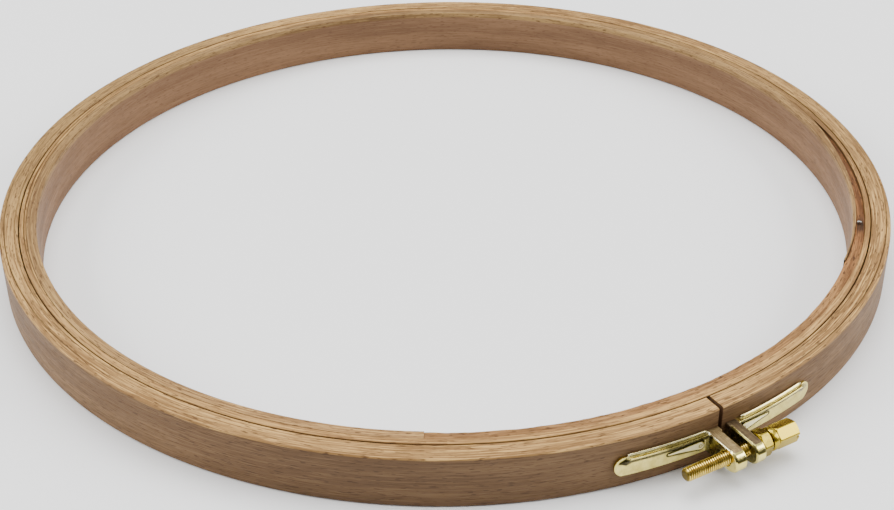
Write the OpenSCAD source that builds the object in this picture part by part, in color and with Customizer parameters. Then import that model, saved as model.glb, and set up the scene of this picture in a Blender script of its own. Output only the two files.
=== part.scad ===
// A round wooden embroidery hoop: an inner ring of glued beech plies, held in a split outer ring
// that a brass screw draws together through two ears.
// The ring's axis is the Z axis and z = 0 is the plane that both rings stand on. Azimuths are in
// degrees, counted from the front (-Y) round to the right (+X).

/* [Wooden rings] */
// Radius of the clear opening inside the inner ring
opening_r = 132.9; // [100:0.1:160]
// Height of the rings
ring_h = 16; // [14:0.5:24]
// Thickness of the inner ring's inner ply
inner_ply_t = 3.2; // [2.6:0.1:5]
// Thickness of the inner ring's outer ply
outer_ply_t = 2.2; // [1.5:0.1:5]
// Glue line between two plies
glue_line = 0.05; // [0.02:0.01:0.1]
// Running room between the inner and the outer ring
ring_room = 0.3; // [0.2:0.05:0.6]
// Thickness of the outer ring's bent strip
strip_t = 6; // [5.5:0.1:9]
// Easing of the long edges of the wood
wood_ease = 0.5; // [0.2:0.1:0.8]

/* [Joint in the inner ring] */
// Azimuth of the butt joint between the inner ply and the closing strip
butt_azimuth = -2.6; // [-20:0.1:20]
// Azimuth where the scarf joint leaves the opening's wall
scarf_start = 68; // [60:1:80]
// Azimuth where the scarf joint meets the outer ply
scarf_end = 107; // [98:1:120]
// Part of the scarf, in degrees, that is left blunt at each feather end
feather_blunt = 3.5; // [3:0.5:5]
// How far the closing strip's top edge lies below the rings' top
closing_drop = 0.6; // [0.2:0.1:1]

/* [Staple in the closing strip] */
// Azimuth of the staple
staple_azimuth = 77; // [74:1:82]
// Thickness of the staple's wire
staple_wire = 0.6; // [0.5:0.05:0.7]
// Distance between the middles of its two legs
staple_span = 1.2; // [1:0.1:1.4]
// Length of the legs below the crown
staple_leg = 6; // [3:0.5:9]
// Room between a leg and its hole, all round
staple_room = 0.03; // [0.02:0.01:0.05]

/* [Split in the outer ring] */
// Azimuth of the middle of the split
split_azimuth = 30.45; // [10:0.05:60]
// Width of the split
split_w = 1.3; // [0.8:0.1:1.7]

/* [Brackets] */
// Distance from the split's middle to the left ear
left_ear_face = 0.9; // [0.9:0.1:3]
// Thickness of the left ear, which holds the screw's thread
left_ear_t = 3.9; // [3:0.1:6]
// Distance from the split's middle to the right ear
right_ear_face = 2.1; // [0.9:0.1:3]
// Thickness of the right ear, which the screw turns in
right_ear_t = 3.5; // [3:0.1:6]
// Height of the ears
ear_h = 6.9; // [6:0.1:9]
// Height of the ears' lower edge over the ground plane
ear_bottom = 3.5; // [2:0.1:4.5]
// How far the ears reach out from the wood
ear_reach = 13.45; // [12.6:0.05:18]
// Bevel along the ears' edges
ear_bevel = 0.5; // [0.2:0.1:0.8]
// Length of the left plate, from the split's middle to its far end
left_plate_reach = 32.8; // [30:0.1:40]
// Length of the right plate, from the split's middle to its far end
right_plate_reach = 34.5; // [30:0.1:40]
// Height of the plates
plate_h = 6.1; // [5.5:0.1:6.6]
// How far the plates' upper edge lies below the ears' top
plate_drop = 0.1; // [0.05:0.05:0.4]
// How far a plate's near end stands out past its ear, towards the split
plate_toe = 0.2; // [0.15:0.05:0.3]
// Thickness of the plates
plate_t = 1; // [0.8:0.1:1.5]
// Room between a plate and the wood
seat_room = 0.05; // [0.02:0.01:0.1]
// Height of the rib along a plate's upper edge
rib_h = 2.1; // [1.5:0.1:2.4]
// How far the rib stands out from the wood
rib_out = 1.95; // [1.7:0.05:2.5]
// Depth of the rib's level top, in front of the plate's middle
rib_land = 0.45; // [0.2:0.05:0.6]
// Length of the plate's round end that the rib leaves free
rib_short = 3.6; // [3.4:0.1:5]
// Radius of the fillet between plate and ear
root_r = 1.5; // [1:0.1:2]
// How far the fillet stops short of the plate's upper and lower edge
root_inset = 0.3; // [0.1:0.05:0.6]

/* [Raised drop on each plate] */
// Distance from the split's middle to the drop's round end
drop_near = 6; // [5.7:0.1:9]
// Length of the drop's taper
drop_l = 9.5; // [6:0.1:11]
// Radius of the drop's round end
drop_r = 1.5; // [1:0.1:1.7]
// Radius of the drop's pointed end
drop_tip_r = 0.25; // [0.1:0.05:0.5]
// Height of the drop's round end over the plate's face
drop_rise = 1.5; // [0.5:0.1:1.8]
// Height of the drop's middle over the plate's lower edge
drop_up = 3.1; // [2:0.1:3.6]
// Diameter of the dimple in the drop
dimple_d = 0.9; // [0.5:0.1:1.2]
// Depth of the dimple
dimple_depth = 0.3; // [0.1:0.05:0.5]

/* [Prongs under the plates] */
// Diameter of a prong
prong_d = 1.6; // [1.2:0.1:2]
// Length of a prong in the wood
prong_l = 4; // [3:0.1:4.5]
// Room between a prong and its hole, all round
prong_room = 0.05; // [0.02:0.01:0.1]
// Distance from the split's middle to the first prong
prong_first = 10; // [8:0.5:14]
// Distance between the two prongs
prong_pitch = 14; // [10:0.5:16]

/* [Screw] */
// Distance from the ears' ends back to the screw's axis
screw_inset = 4.88; // [4:0.01:5.4]
// Outer diameter of the thread
thread_d = 3.9; // [3:0.05:4]
// Pitch of the thread
pitch = 0.7; // [0.5:0.05:0.8]
// Depth of the thread
thread_depth = 0.38; // [0.2:0.01:0.4]
// Distance from the split's middle to the screw's tip
tip_reach = 18.3; // [14:0.1:24]
// Bevel at the screw's tip
tip_bevel = 0.6; // [0.3:0.1:0.8]
// Diameter of the plain neck behind the nut
neck_d = 4.5; // [4.3:0.1:6]
// Length of the neck
neck_l = 0.7; // [0.4:0.1:1.5]
// Diameter of the shoulder
shoulder_d = 6.7; // [6:0.1:8]
// Length of the shoulder
shoulder_l = 1.9; // [1:0.1:3]
// Width of the hexagonal head across its flats
head_af = 6.1; // [5.5:0.1:7]
// Length of the head
head_l = 7.1; // [5:0.1:10]
// Width of the slot in the head
slot_w = 1; // [0.8:0.1:1.2]
// Depth of the slot
slot_depth = 1.2; // [0.8:0.1:2]
// Room between the thread and the left ear, all round
left_ear_room = 0.3; // [0.3:0.05:0.5]
// Room between the thread and the right ear, all round
right_ear_room = 0.1; // [0.05:0.05:0.3]

/* [Collar nut] */
// Width of the nut across its flats
nut_af = 7; // [6.5:0.1:8]
// Thickness of the nut
nut_t = 3.2; // [2.4:0.1:4]
// Room between the thread and the nut, all round
nut_room = 0.05; // [0.02:0.01:0.1]
// Room between the nut and the right ear
thrust_room = 0.1; // [0.05:0.05:0.3]
// Angle by which a flat of the nut and of the head is turned up from the level
hex_turn = 47; // [0:1:60]
// Bevel on the corners of the nut and the head
hex_bevel = 0.35; // [0.2:0.05:0.6]

/* [Hidden] */
$fn = 240;
small_fn = 48;
// How far a cut runs past what it cuts
over = 1;
// How far a fillet's round is sunk into the two faces that it joins
fillet_sink = 0.03;
// How far a plate's round end is drawn inside the surfaces of the rest of the plate
plate_step = 0.02;
// How much larger the round of a plate's far end is than half the plate's height
plate_round_more = 0.2;
// How deep the drop and the ear's fillet start inside the plate
plate_sink = 0.6;
// Flats round the drop's end
drop_steps = 12;
// How far the hexagons' bevels run inward for each millimetre along the axis
bevel_run = 2;

// Radii of the rings, from the opening outward
inner_ply_r = opening_r + inner_ply_t;
outer_ply_in_r = inner_ply_r + glue_line;
outer_ply_r = outer_ply_in_r + outer_ply_t;
strip_in_r = outer_ply_r + ring_room;
strip_r = strip_in_r + strip_t;

// The scarf joint is the wall of a cylinder that stands off centre: it meets the opening's wall at
// scarf_start and the outer ply at scarf_end
scarf_middle = (scarf_start + scarf_end) / 2;
scarf_shift = inner_ply_t / (2 * sin((scarf_end - scarf_start) / 2));
scarf_r = opening_r + inner_ply_t / 2;

// Heights of the hardware
ear_top = ear_bottom + ear_h;
ear_round_r = ear_h / 2;
screw_z = ear_bottom + ear_round_r;
screw_out = ear_reach - screw_inset;
plate_top = ear_top - plate_drop;
plate_bottom = plate_top - plate_h;
plate_round_r = plate_h / 2 + plate_round_more;
drop_z = plate_bottom + drop_up;

// Places along the screw, from the split's middle to the right
nut_near = right_ear_face + right_ear_t + thrust_room;
nut_far = nut_near + nut_t;
shoulder_near = nut_far + neck_l;
head_near = shoulder_near + shoulder_l;
head_far = head_near + head_l;

// Colours
beech = "#c9a27c";
light_beech = "#d8b78c";
red_beech = "#a5633f";
cast_brass = "#d9cc8a";
turned_brass = "#c9a23a";
steel = "#9a978f";

// Angle at the ring's axis for a distance along the outer ring's wall
function arc(length) = length / strip_r * 180 / PI;

// A closed or open band of the ring between two azimuths
module band(in_r, out_r, from_azimuth, to_azimuth, top, ease_in, ease_out) {
    rotate([0, 0, from_azimuth - 90])
        rotate_extrude(angle = to_azimuth - from_azimuth)
            polygon([
                [in_r + ease_in, 0], [out_r - ease_out, 0], [out_r, ease_out],
                [out_r, top - ease_out], [out_r - ease_out, top], [in_r + ease_in, top],
                [in_r, top - ease_in], [in_r, ease_in]
            ]);
}

// Turns and moves its children so that x points out through the split and y runs to the right
module at_split() {
    rotate([0, 0, split_azimuth - 90]) children();
}

// Lays a shape that is drawn along z on the screw's axis, with z running to the right and y down
module on_screw_axis() {
    at_split() translate([strip_r + screw_out, 0, screw_z]) rotate([-90, 0, 0]) children();
}

// Half of the outer ring's bent strip, for side = 1 (right) or -1 (left)
module strip_half(side) {
    from_azimuth = side > 0 ? split_azimuth : split_azimuth - 180;
    difference() {
        band(strip_in_r, strip_r, from_azimuth, from_azimuth + 180, ring_h, wood_ease, wood_ease);
        at_split()
            translate([strip_in_r - over, -split_w / 2, -over])
                cube([strip_t + 2 * over, split_w, ring_h + 2 * over]);
        at_split() mirror([0, side > 0 ? 0 : 1, 0]) prongs(prong_room);
    }
}

// The two prongs of the right bracket, or their holes when room is over zero
module prongs(room) {
    for (distance = [prong_first, prong_first + prong_pitch])
        rotate([0, 0, arc(distance)])
            translate([strip_r - prong_l - room, 0, plate_bottom + plate_h / 2])
                rotate([0, 90, 0])
                    cylinder(d = prong_d + 2 * room, h = prong_l + plate_t / 2 + room, $fn = small_fn);
}

module outer_ring_left() {
    color(beech) strip_half(-1);
}

module outer_ring_right() {
    color(beech) strip_half(1);
}

module inner_ring_outer_ply() {
    color(light_beech)
        rotate_extrude()
            polygon([
                [outer_ply_in_r, 0], [outer_ply_r - wood_ease, 0], [outer_ply_r, wood_ease],
                [outer_ply_r, ring_h - wood_ease], [outer_ply_r - wood_ease, ring_h],
                [outer_ply_in_r, ring_h]
            ]);
}

// What lies inside the scarf joint, with its wall moved out by room
module inside_scarf(room) {
    rotate([0, 0, scarf_middle])
        translate([scarf_shift, 0, -over])
            cylinder(r = scarf_r + room, h = ring_h + 2 * over);
}

module inner_ring_inner_ply() {
    color(light_beech)
        difference() {
            band(opening_r, inner_ply_r, scarf_start + feather_blunt, 360 + butt_azimuth,
                ring_h, wood_ease, 0);
            difference() {
                band(opening_r - over, inner_ply_r + over, scarf_start, scarf_end + over,
                    ring_h + over, 0, 0);
                inside_scarf(0);
            }
        }
}

module inner_ring_closing_strip() {
    color(red_beech)
        difference() {
            band(opening_r, inner_ply_r, butt_azimuth, scarf_end - feather_blunt,
                ring_h - closing_drop, wood_ease, 0);
            intersection() {
                band(opening_r - over, inner_ply_r + over, scarf_start, scarf_end, ring_h, 0, 0);
                inside_scarf(glue_line);
            }
            staple_legs(staple_room);
        }
}

// Turns and moves its children to the staple's place on top of the closing strip, halfway
// between the scarf joint and the outer ply, with x pointing out
module at_staple() {
    scarf_here = scarf_r + scarf_shift * cos(staple_azimuth - 90 - scarf_middle);
    rotate([0, 0, staple_azimuth - 90])
        translate([(scarf_here + inner_ply_r) / 2, 0, ring_h - closing_drop]) children();
}

// The staple's legs, or their holes when room is over zero
module staple_legs(room) {
    at_staple()
        for (side = [-1, 1])
            translate([side * staple_span / 2, 0, -staple_leg - room])
                cylinder(d = staple_wire + 2 * room, h = staple_leg + room + over, $fn = small_fn);
}

module scarf_staple() {
    color(steel) {
        intersection() {
            staple_legs(0);
            at_staple() translate([0, 0, -staple_leg]) cylinder(r = 2 * staple_span, h = staple_leg);
        }
        at_staple()
            translate([-(staple_span + staple_wire) / 2, -staple_wire / 2, 0])
                cube([staple_span + staple_wire, staple_wire, staple_wire]);
    }
}

// An ear with a round outer end, drawn from y = 0 to y = thickness with x pointing out. It starts
// in the middle of the plate's thickness
module ear(thickness) {
    centre_x = strip_r + ear_reach - ear_round_r;
    root_x = strip_r + plate_t / 2;
    translate([root_x, 0, screw_z])
        rotate([90, 0, 90])
            linear_extrude(height = centre_x - root_x)
                polygon([
                    [ear_bevel, -ear_round_r], [thickness - ear_bevel, -ear_round_r],
                    [thickness, ear_bevel - ear_round_r], [thickness, ear_round_r - ear_bevel],
                    [thickness - ear_bevel, ear_round_r], [ear_bevel, ear_round_r],
                    [0, ear_round_r - ear_bevel], [0, ear_bevel - ear_round_r]
                ]);
    translate([centre_x, 0, screw_z])
        rotate([-90, 0, 0])
            rotate_extrude()
                polygon([
                    [0, 0], [ear_round_r - ear_bevel, 0], [ear_round_r, ear_bevel],
                    [ear_round_r, thickness - ear_bevel], [ear_round_r - ear_bevel, thickness],
                    [0, thickness]
                ]);
}

// The thin plate against the wood. Its near part has a sloping rib along the upper edge, cut off
// slantwise at its far end, and its far end is round
module plate(from_y, reach) {
    in_r = strip_r + seat_room;
    out_r = strip_r + plate_t;
    rib_r = strip_r + rib_out;
    end_y = reach - rib_short;
    difference() {
        rotate([0, 0, arc(from_y)])
            rotate_extrude(angle = arc(end_y - from_y))
                polygon([
                    [in_r, plate_bottom], [out_r, plate_bottom], [out_r, plate_top - rib_h],
                    [rib_r, plate_top - rib_land], [rib_r, plate_top], [in_r, plate_top]
                ]);
        rotate([0, 0, arc(end_y)])
            translate([out_r + seat_room, 0, plate_bottom])
                rotate([0, 0, 45]) translate([0, -plate_h, 0]) cube([plate_h, 2 * plate_h, ring_h]);
    }
    intersection() {
        rotate([0, 0, arc(end_y - over)])
            rotate_extrude(angle = arc(rib_short + 2 * over))
                translate([in_r + plate_step, plate_bottom + plate_step])
                    square([out_r - in_r - 2 * plate_step, plate_h - 2 * plate_step]);
        rotate([0, 0, arc(reach - plate_round_r)])
            translate([strip_r / 2, 0, plate_bottom + plate_h / 2])
                rotate([90, 0, 90])
                    linear_extrude(height = strip_r) {
                        circle(r = plate_round_r, $fn = small_fn);
                        translate([-reach, -plate_h]) square([reach, 2 * plate_h]);
                    }
    }
}

// The hollow fillet between the plate's face and the ear's outer side at y = ear_y. Its round is
// sunk a little into both, so that it runs out inside them
module root_fillet(ear_y) {
    face_r = strip_r + plate_t;
    round_y = ear_y + root_r - fillet_sink;
    round_x = sqrt(pow(face_r + root_r - fillet_sink, 2) - pow(round_y, 2));
    difference() {
        translate([face_r - plate_sink, ear_y - over, plate_bottom + root_inset])
            cube([round_x - face_r + plate_sink, round_y - ear_y + over, plate_h - 2 * root_inset]);
        translate([round_x, round_y, 0]) cylinder(r = root_r, h = ring_h, $fn = small_fn);
    }
}

// The raised drop beside the ear: round and high at the near end, and level with the plate at its
// point. Its outline is drawn as seen from outside, with the point to the right
module raised_drop() {
    lean = asin((drop_r - drop_tip_r) / drop_l);
    slope = atan(drop_rise / (drop_r + drop_l));
    rotate([0, 0, arc(drop_near + drop_r)])
        intersection() {
            translate([strip_r + plate_t - plate_sink, 0, drop_z])
                rotate([90, 0, 90])
                    linear_extrude(height = plate_t + drop_rise)
                        polygon(concat(
                            [
                                for (step = [0 : drop_steps])
                                    let (angle = 90 - lean + step * (180 + 2 * lean) / drop_steps)
                                        drop_r * [cos(angle), sin(angle)]
                            ],
                            [[drop_l, -drop_tip_r], [drop_l, drop_tip_r]]
                        ));
            translate([strip_r + plate_t + drop_rise, -drop_r, 0])
                rotate([0, 0, slope])
                    translate([-ear_reach, -over, 0])
                        cube([ear_reach, 2 * (drop_r + drop_l), ear_top]);
        }
}

// The dimple in the drop's round end
module dimple() {
    rotate([0, 0, arc(drop_near + drop_r)])
        translate([strip_r + plate_t + drop_rise - dimple_depth, 0, drop_z])
            rotate([0, 90, 0]) cylinder(d = dimple_d, h = over, $fn = small_fn);
}

// The right bracket, drawn with x pointing out through the split and y running to the right
module bracket(ear_face, ear_t, reach, ear_room) {
    ear_y = ear_face + ear_t;
    difference() {
        union() {
            translate([0, ear_face, 0]) ear(ear_t);
            plate(ear_face - plate_toe, reach);
            root_fillet(ear_y);
            raised_drop();
        }
        dimple();
        translate([strip_r + screw_out, ear_face - over, screw_z])
            rotate([-90, 0, 0])
                cylinder(d = thread_d + 2 * ear_room, h = ear_t + 2 * over, $fn = small_fn);
    }
    prongs(0);
}

module left_bracket() {
    color(cast_brass)
        at_split()
            mirror([0, 1, 0]) bracket(left_ear_face, left_ear_t, left_plate_reach, left_ear_room);
}

module right_bracket() {
    color(cast_brass)
        at_split() bracket(right_ear_face, right_ear_t, right_plate_reach, right_ear_room);
}

// A hexagonal bar from z = from_z to z = to_z, with bevelled corners at the ends named
module hexagon(across_flats, from_z, to_z, bevel_from, bevel_to) {
    corner_r = across_flats / 2 / cos(30);
    intersection() {
        translate([0, 0, from_z])
            rotate([0, 0, 30 - hex_turn]) cylinder(r = corner_r, h = to_z - from_z, $fn = 6);
        rotate_extrude($fn = small_fn)
            polygon([
                [0, from_z], [corner_r - bevel_run * bevel_from, from_z],
                [corner_r + over, from_z + bevel_from + over / bevel_run],
                [corner_r + over, to_z - bevel_to - over / bevel_run],
                [corner_r - bevel_run * bevel_to, to_z], [0, to_z]
            ]);
    }
}

// The thread is drawn as rings at its pitch, from the tip to the nut's far side
thread_r = thread_d / 2;
thread_from = tip_bevel - tip_reach;
turns = floor((nut_far - thread_from) / pitch);
thread_points = [
    for (turn = [0 : turns - 1])
        let (z = thread_from + turn * pitch)
            each [
                [thread_r, z], [thread_r, z + pitch / 4],
                [thread_r - thread_depth, z + pitch / 2], [thread_r - thread_depth, z + 3 * pitch / 4]
            ]
];

module clamp_screw() {
    color(turned_brass)
        on_screw_axis() {
            rotate_extrude($fn = small_fn)
                polygon(concat(
                    [[0, -tip_reach], [thread_r - tip_bevel, -tip_reach]],
                    thread_points,
                    [
                        [thread_r, thread_from + turns * pitch], [thread_r, nut_far],
                        [neck_d / 2, nut_far], [neck_d / 2, shoulder_near],
                        [shoulder_d / 2, shoulder_near], [shoulder_d / 2, head_near],
                        [0, head_near]
                    ]
                ));
            difference() {
                hexagon(head_af, head_near, head_far, 0, hex_bevel);
                translate([-head_af, -slot_w / 2, head_far - slot_depth])
                    cube([2 * head_af, slot_w, slot_depth + over]);
            }
        }
}

module collar_nut() {
    color(turned_brass)
        on_screw_axis()
            difference() {
                hexagon(nut_af, nut_near, nut_far, hex_bevel, hex_bevel);
                translate([0, 0, nut_near - over])
                    cylinder(d = thread_d + 2 * nut_room, h = nut_t + 2 * over, $fn = small_fn);
            }
}

outer_ring_left();
outer_ring_right();
inner_ring_outer_ply();
inner_ring_inner_ply();
inner_ring_closing_strip();
scarf_staple();
left_bracket();
right_bracket();
clamp_screw();
collar_nut();
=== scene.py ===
"""The looks of a round wooden embroidery hoop with a brass clamp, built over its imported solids.

Sizes are in millimetres and azimuths in degrees, counted from the front (-Y) round to the right
(+X). They are turned into metres where a mesh is made.
"""

import math

import bmesh
import bpy
import numpy as np
from mathutils import Matrix, Vector
from mathutils.kdtree import KDTree

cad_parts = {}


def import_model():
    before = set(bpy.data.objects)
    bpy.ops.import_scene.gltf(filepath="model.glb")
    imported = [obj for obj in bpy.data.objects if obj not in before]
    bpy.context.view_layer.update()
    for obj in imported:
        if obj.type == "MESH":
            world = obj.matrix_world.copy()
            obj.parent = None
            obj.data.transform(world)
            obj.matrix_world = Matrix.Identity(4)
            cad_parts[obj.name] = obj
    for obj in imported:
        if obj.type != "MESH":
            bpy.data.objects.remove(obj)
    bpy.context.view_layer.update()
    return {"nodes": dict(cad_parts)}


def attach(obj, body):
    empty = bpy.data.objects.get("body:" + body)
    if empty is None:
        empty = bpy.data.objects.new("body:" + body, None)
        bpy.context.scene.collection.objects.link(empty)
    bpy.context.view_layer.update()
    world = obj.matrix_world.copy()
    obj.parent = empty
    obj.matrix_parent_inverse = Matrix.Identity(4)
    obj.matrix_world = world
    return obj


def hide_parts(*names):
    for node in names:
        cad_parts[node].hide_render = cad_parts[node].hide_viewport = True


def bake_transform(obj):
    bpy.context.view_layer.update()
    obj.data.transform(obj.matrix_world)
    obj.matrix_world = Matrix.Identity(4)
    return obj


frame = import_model()

MM = 0.001

# The rings, as in the part's source
OPENING_R = 132.9
INNER_PLY_R = 136.1
OUTER_PLY_IN_R = 136.15
OUTER_PLY_R = 138.35
STRIP_IN_R = 138.65
STRIP_R = 144.65
RING_H = 16.0
GLUE_LINE = 0.05
BUTT_AZIMUTH = -2.6
SCARF_END = 107.0
FEATHER_AZIMUTH = 66.5
CLOSING_DROP = 0.6
SPLIT_AZIMUTH = 30.45
SPLIT_W = 1.3

# The brackets and the screw, as in the part's source, along the screw from the split's middle
EAR_TOP = 10.4
PLATE_T = 1.0
SCREW_OUT = 8.57
SCREW_Z = 6.95
THREAD_R = 1.95
PITCH = 0.7
THREAD_DEPTH = 0.38
THREAD_CREST, THREAD_FLANK = 0.1, 0.75
GROOVE_DARK = 0.55
TIP_REACH = 18.3
TIP_BEVEL = 0.6
NECK_R = 2.25
SHOULDER_R = 3.35
NUT_NEAR, NUT_FAR = 5.7, 8.9
SHOULDER_NEAR = 9.6
SHOULDER_ROUND_NEAR, SHOULDER_ROUND_FAR = 0.55, 0.45
HEAD_NEAR, HEAD_FAR = 11.5, 18.6
HEAD_BEVEL_NEAR, HEAD_BEVEL_FAR = 0.22, 0.5
HEAD_AF = 6.1
NUT_AF = 7.0
HEX_TURN = 47.0
HEX_BEVEL = 0.35
BEVEL_RUN = 2.0
SLOT_W, SLOT_DEPTH, SLOT_CUT_L = 1.0, 1.2, 12
BORE_ROOM = 0.04
BORE_BEVEL, BORE_BEVEL_RISE = 0.2, 0.25
RIB_OUT = 1.95
EAR_ROUND_OUT = 10.2
LEFT_EAR_SIDE, RIGHT_EAR_SIDE = 4.8, 5.6
LEFT_EAR_NEAR, RIGHT_EAR_NEAR = 0.9, 2.1
LEFT_RIB_END, RIGHT_RIB_END = 28.9, 30.6

# The bright rim that the castings have along the plate's top edge and the ear
RIM_PLATE_R, RIM_EAR_R = 0.46, 0.26
RIM_PLATE_OUT, RIM_PLATE_UP = 0.5, 10.62
PLATE_UP = 10.28
RIM_CORNER = 1.15
RIM_EAR_IN = 0.12
RIM_EAR_DOWN = 0.16
RIM_THINS = (0.6, 2.0)
RIM_EAR_START = 0.6
RIM_END_SHARE = 0.6
RIM_PLATE_STEPS, RIM_CORNER_STEPS, RIM_EAR_STEPS = 26, 8, 14
RIM_SIDES = 14
CREASE_SPREAD = 11
CREASE_SIZE = 0.07
CAST_VOXEL = 0.075
CAST_SMOOTH = 16

# The raised drop, as in the part's source, and the painted shade round its foot
DROP_MIDDLE = 7.5
DROP_L = 9.5
DROP_UP = 7.3
DROP_R, DROP_TIP_R = 1.5, 0.25
DIMPLE_R = 0.45
DROP_FLATTER = 0.4

# The castings' painted shade: where its soft edges start and end
BAND_END, BAND_FADE = 18.4, 1.2
ON_PLATE_OUT = (2.2, 2.6)
LOW_OUT = (2.5, 2.9)
ABOVE_PLATE_OUT = (1.05, 1.3)
DROP_START = (5.0, 6.0)
EAR_SIDE_OUT = (6.0, 7.5)
EAR_LINE_OUT = (9.8, 10.4)
HIP_SHADE_UP = (9.8, 10.15)
SPLIT_EDGE_UP = (8.0, 9.0)
FAR_FROM_RIM = 9.0
# How strong the painted shade on the rib near the ear and at its sloping end is, left and right
LEFT_PAINTED_SHADE, RIGHT_PAINTED_SHADE = 1.0, 0.45

# The rib's far end, which slopes down to the plate
HIP_L = 3.3
HIP_UP = 9.85
HIP_FOOT_UP = 7.5
HIP_TIP_UP = 8.6
HIP_LAP = 1.2
IN_PLATE = 0.5
RIB_FOOT_UP = 8.2

# The staple, as in the part's source
STAPLE_AZIMUTH = 77.0
STAPLE_WIRE = 0.6
STAPLE_SPAN = 1.2
STAPLE_LEG = 6.0
STAPLE_BEND = 0.3
STAPLE_HALF_W, STAPLE_HALF_T = 0.3, 0.24
STAPLE_SQUARE = 0.6
STAPLE_BEND_STEPS = 4
STAPLE_SIDES = 12
STAPLE_R = 134.88

# Steps of the meshes
AZIMUTH_STEP = 0.3
TOP_STEP = 0.3
ARC_STEPS = 4
BOTTOM_STEPS = 8
WALL_STEPS = 10
SCREW_COLUMNS = 144

# The fine grooves and dark joints of the tops
GROOVE_DEPTH = 0.25
GROOVE_HALF = 0.23
MARK_FALL = 1.2

# Camera, solved from the photograph
CAMERA_AT = (0.0, -0.458379, 0.279938)
CAMERA_RIGHT = (0.99993258, -0.00718841, -0.00911883)
CAMERA_UP = (0.01155738, 0.54043867, 0.84130403)
FOCAL_PIXELS = 1586.661
PHOTO_WIDTH = 894
SENSOR_W = 36.0

# The stage in metres, and the sky's brightness by height and towards the front
STAGE_HALF = 6.0
STAGE_Z = -0.0002
SKY_TONES = ((0.0, 0.85), (0.08, 0.5), (0.25, 0.25), (0.5, 0.8), (1.0, 1.0))
SKY_FRONT = {"From Min": -0.85, "From Max": 0.2, "To Min": 0.4, "To Max": 1.0}

# Directions at the split: out through it, and along the ring to the right
SPLIT = math.radians(SPLIT_AZIMUTH)
OUTWARD = np.array([math.sin(SPLIT), -math.cos(SPLIT), 0.0])
RIGHTWARD = np.array([math.cos(SPLIT), math.sin(SPLIT), 0.0])
UPWARD = np.array([0.0, 0.0, 1.0])


def new_object(name, data):
    piece = bpy.data.objects.new(name, data)
    bpy.context.scene.collection.objects.link(piece)
    return piece


def smooth_mesh(name, places, faces, materials, sharp):
    """A smooth mesh from places in metres. Edges above the angle sharp, in degrees, stay sharp."""
    mesh = bpy.data.meshes.new(name)
    mesh.from_pydata(places, [], faces)
    for material in materials:
        mesh.materials.append(material)
    mesh.shade_smooth()
    mesh.set_sharp_from_angle(angle=math.radians(sharp))
    return mesh


def grid_quads(rows, columns, looped):
    """Quads between rows of points that go round in a ring. looped joins the last to the first."""
    row = np.arange(rows if looped else rows - 1)[:, None]
    column = np.arange(columns)[None, :]
    next_row, next_column = (row + 1) % rows, (column + 1) % columns
    corners = ((row, column), (next_row, column), (next_row, next_column), (row, next_column))
    return np.stack([at_row * columns + at for at_row, at in corners], 2).reshape(-1, 4)


def tube_faces(rows, columns, looped=False):
    """The faces of a tube, which is closed at both ends unless it is looped."""
    faces = grid_quads(rows, columns, looped)[:, [0, 3, 2, 1]].tolist()
    if not looped:
        faces.append(list(range(columns))[::-1])
        faces.append(list(range((rows - 1) * columns, rows * columns)))
    return faces


def add_attribute(mesh, name, values, kind="FLOAT", domain="POINT"):
    key = "vector" if kind == "FLOAT_VECTOR" else "value"
    attribute = mesh.attributes.new(name, kind, domain)
    attribute.data.foreach_set(key, np.asarray(values, np.float32).ravel())


def read_vectors(vertices, key, kind=np.float32):
    values = np.empty(len(vertices) * 3, kind)
    vertices.foreach_get(key, values)
    return values.reshape(-1, 3)


def evaluated(piece):
    """A new mesh of a piece with its modifiers applied."""
    graph = bpy.context.evaluated_depsgraph_get()
    return bpy.data.meshes.new_from_object(piece.evaluated_get(graph))


def directions(line):
    """Unit vectors along a line of points."""
    ahead = np.gradient(line, axis=0)
    return ahead / np.linalg.norm(ahead, axis=1)[:, None]


def dim(colour, share):
    return tuple(part * share for part in colour)


def wobble(azimuth, seed, size, waves=7):
    """A slow seeded variation round the ring, about as large as size."""
    rng = np.random.default_rng(seed)
    total = np.zeros(len(azimuth))
    for wave in range(2, 2 + waves):
        phase = rng.uniform(0, 2 * math.pi)
        total += rng.normal() * np.sin(np.radians(azimuth) * wave + phase)
    return size * total / math.sqrt(waves)


def cell_noise(along, across, seed, long, wide):
    """Smooth seeded noise from -1 to 1, with cells that are long by wide millimetres."""
    rng = np.random.default_rng(seed)
    u, v = along / long, across / wide
    row, column = np.floor(u).astype(int), np.floor(v).astype(int)
    s, t = u - row, v - column
    s, t = s * s * (3 - 2 * s), t * t * (3 - 2 * t)
    row, column = row - row.min(), column - column.min()
    grid = rng.uniform(-1, 1, (row.max() + 2, column.max() + 2))
    near = grid[row, column] * (1 - t) + grid[row, column + 1] * t
    far = grid[row + 1, column] * (1 - t) + grid[row + 1, column + 1] * t
    return near * (1 - s) + far * s


def along_ring(azimuth, points):
    """The value at each azimuth of a line through (azimuth, value) points."""
    places, values = zip(*points)
    return np.interp(azimuth, places, values)


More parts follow.
